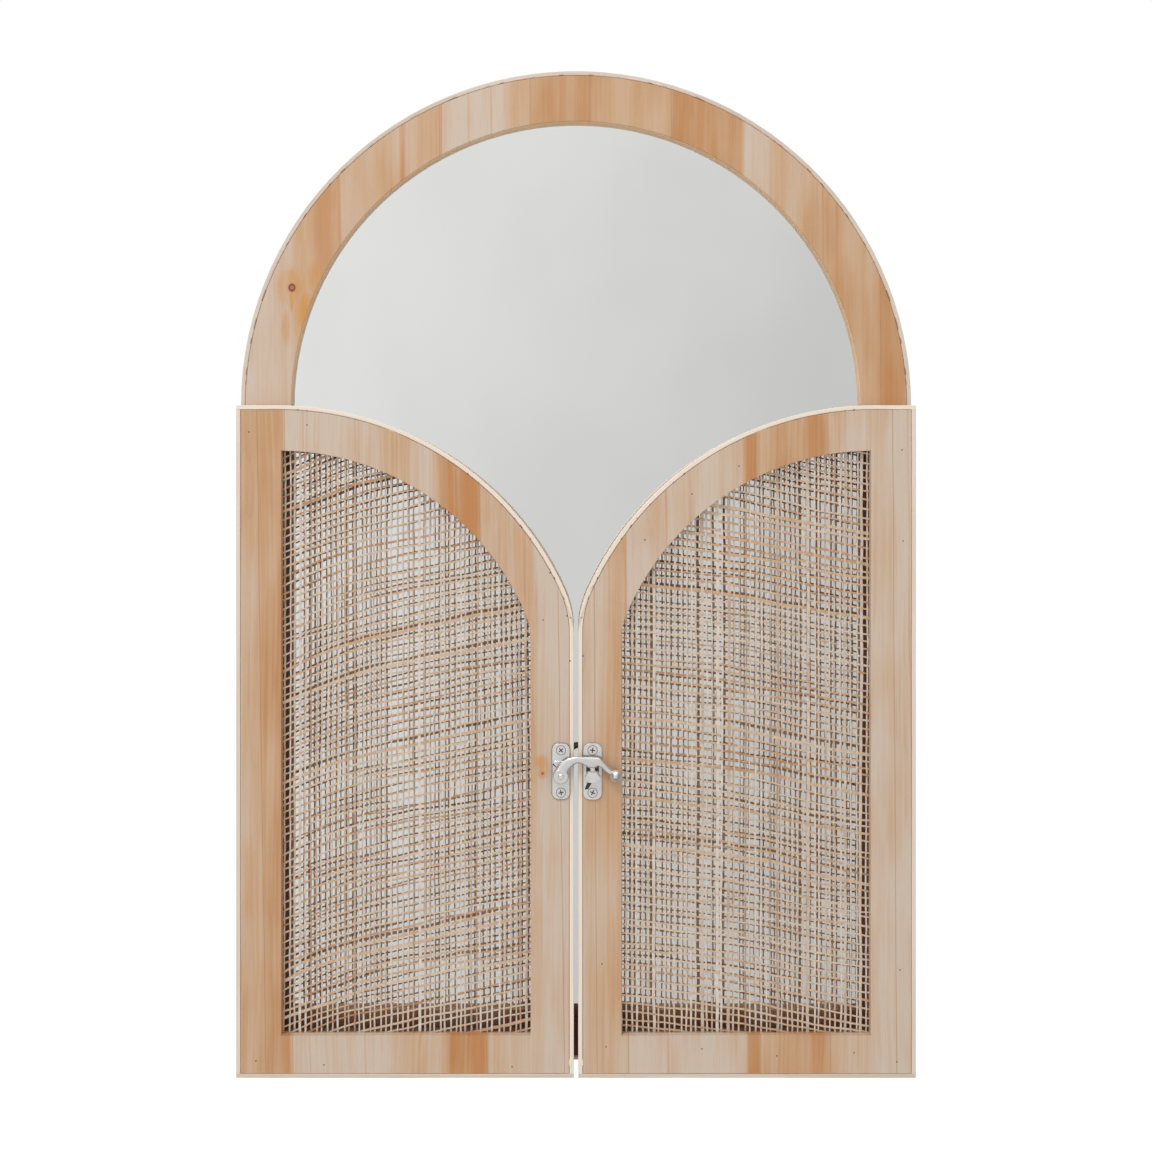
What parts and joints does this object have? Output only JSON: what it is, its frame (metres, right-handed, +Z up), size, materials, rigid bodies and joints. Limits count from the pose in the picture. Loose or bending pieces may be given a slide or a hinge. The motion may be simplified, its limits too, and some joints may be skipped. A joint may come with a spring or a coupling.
{
  "type": "shutter mirror",
  "caption": "Arch-topped wooden wall mirror whose lower part is covered by a pair of hinged shutter doors with woven cane panels, closed by a small swing latch.",
  "frame": {"origin": "centre of the arch's curve on the wall plane, midway between the two keyhole hangers' round entries", "axes": "+X to the viewer's right, +Y from the front into the wall, +Z up; the doors' fronts face -Y"},
  "size_m": [0.4048, 0.0421, 0.5946],
  "materials": {
    "fir_face": "satin clear-sealed fir with upright grain",
    "fir_core": "plain planed fir",
    "edging_wood": "pale bent edging strip, sanded",
    "cane": "woven natural cane",
    "mirror": "silvered float glass",
    "hardboard": "brown hardboard",
    "brass_plate": "brass-plated steel",
    "zinc_steel": "zinc-plated steel",
    "hinge_steel": "nickel-plated steel",
    "bright_nickel": "polished nickel plate"
  },
  "bodies": {
    "root": {"frame_face": "fir_face", "frame_core": "fir_core", "frame_arch_edging": "edging_wood", "frame_base_edging": "edging_wood", "mirror_glass": "mirror", "backing_board": "hardboard", "retaining_tabs": "zinc_steel", "left_hanger_plate": "brass_plate", "right_hanger_plate": "brass_plate", "hanger_screws": "brass_plate", "frame_hinge_screws": "hinge_steel", "left_top_hinge_frame_leaf": "hinge_steel", "left_top_hinge_pin": "hinge_steel", "left_low_hinge_frame_leaf": "hinge_steel", "left_low_hinge_pin": "hinge_steel", "right_top_hinge_frame_leaf": "hinge_steel", "right_top_hinge_pin": "hinge_steel", "right_low_hinge_frame_leaf": "hinge_steel", "right_low_hinge_pin": "hinge_steel"},
    "left_door": {"left_door_face": "fir_face", "left_door_backer": "fir_core", "left_door_curved_edging": "edging_wood", "left_door_side_edging": "edging_wood", "left_door_base_edging": "edging_wood", "left_cane_panel": "cane", "left_door_hinge_screws": "hinge_steel", "latch_pivot_plate": "bright_nickel", "latch_rivet": "bright_nickel", "latch_pivot_screws": "bright_nickel", "left_top_hinge_door_leaf": "hinge_steel", "left_low_hinge_door_leaf": "hinge_steel"},
    "right_door": {"right_door_face": "fir_face", "right_door_backer": "fir_core", "right_door_curved_edging": "edging_wood", "right_door_side_edging": "edging_wood", "right_door_base_edging": "edging_wood", "right_cane_panel": "cane", "right_door_hinge_screws": "hinge_steel", "latch_keeper": "bright_nickel", "latch_keeper_screws": "bright_nickel", "right_top_hinge_door_leaf": "hinge_steel", "right_low_hinge_door_leaf": "hinge_steel"},
    "latch_arm": {"latch_arm": "bright_nickel"}
  },
  "joints": [
    {"name": "left_door_swing", "type": "hinge", "parent": "root", "child": "left_door", "pos_m": [-0.2009, -0.021, -0.2], "axis": [0, 0, -1], "range_deg": [0, 175]},
    {"name": "right_door_swing", "type": "hinge", "parent": "root", "child": "right_door", "pos_m": [0.2009, -0.021, -0.2], "axis": [0, 0, 1], "range_deg": [0, 175]},
    {"name": "latch_lift", "type": "hinge", "parent": "left_door", "child": "latch_arm", "pos_m": [-0.0088, -0.0385, -0.217], "axis": [0, -1, 0], "range_deg": [0, 110]}
  ]
}
